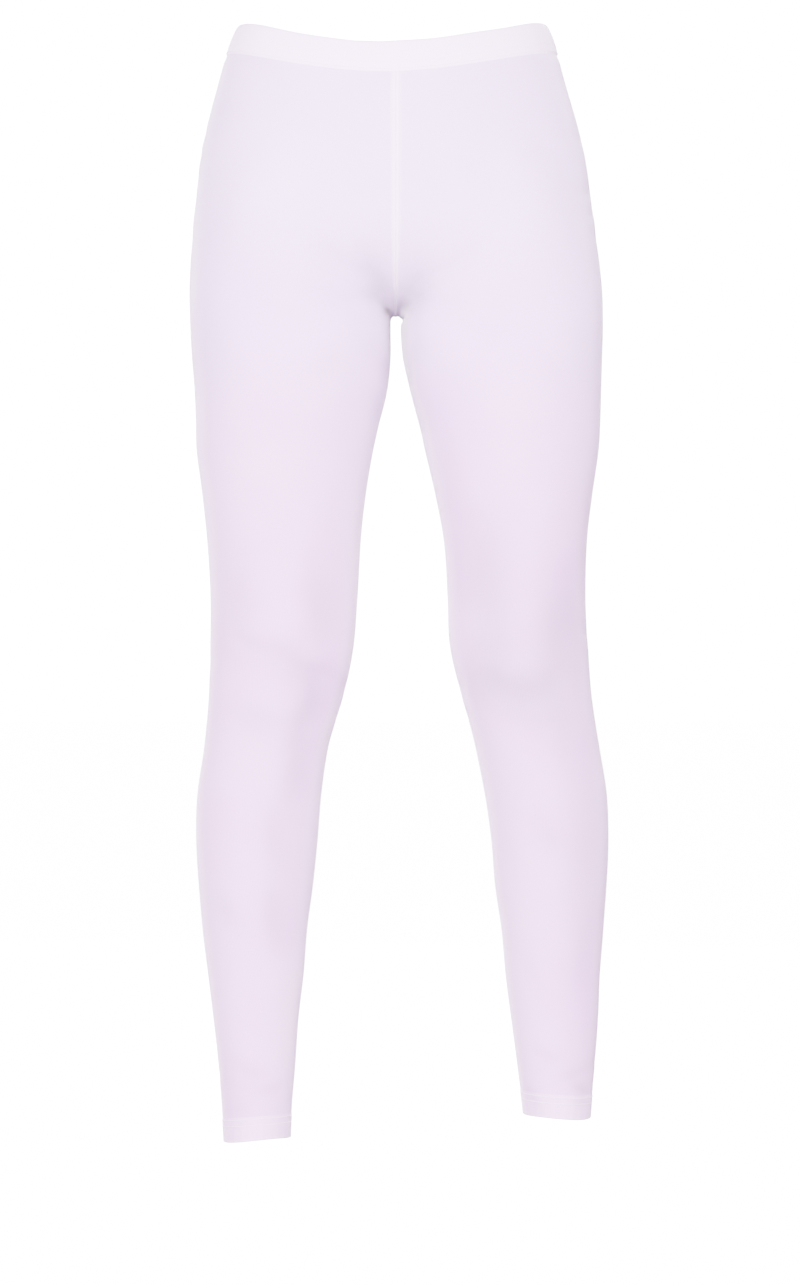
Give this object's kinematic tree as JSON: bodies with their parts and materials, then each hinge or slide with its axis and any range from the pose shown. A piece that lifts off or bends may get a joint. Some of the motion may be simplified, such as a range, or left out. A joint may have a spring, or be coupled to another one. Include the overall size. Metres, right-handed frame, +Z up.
{
  "type": "churidar pants",
  "caption": "Close-fitting full-length churidar pants in pale jersey, worn form, with an elastic waistband, a centre seam and turned-up ankle hems.",
  "frame": {"origin": "centre of the waist opening, level with the waistband's top edge", "axes": "+Z up out of the waist opening, -Y to the wearer's front, +X to the wearer's left"},
  "size_m": [0.3398, 0.2285, 0.9057],
  "materials": {
    "jersey": "cotton-elastane single jersey, matt, white with a lilac cast",
    "band_jersey": "the same jersey folded double over elastic",
    "hem_jersey": "the same jersey turned up, two layers"
  },
  "bodies": {
    "root": {"leg_right": "jersey", "leg_left": "jersey", "waistband": "band_jersey", "hem_right": "hem_jersey", "hem_left": "hem_jersey"}
  },
  "joints": []
}
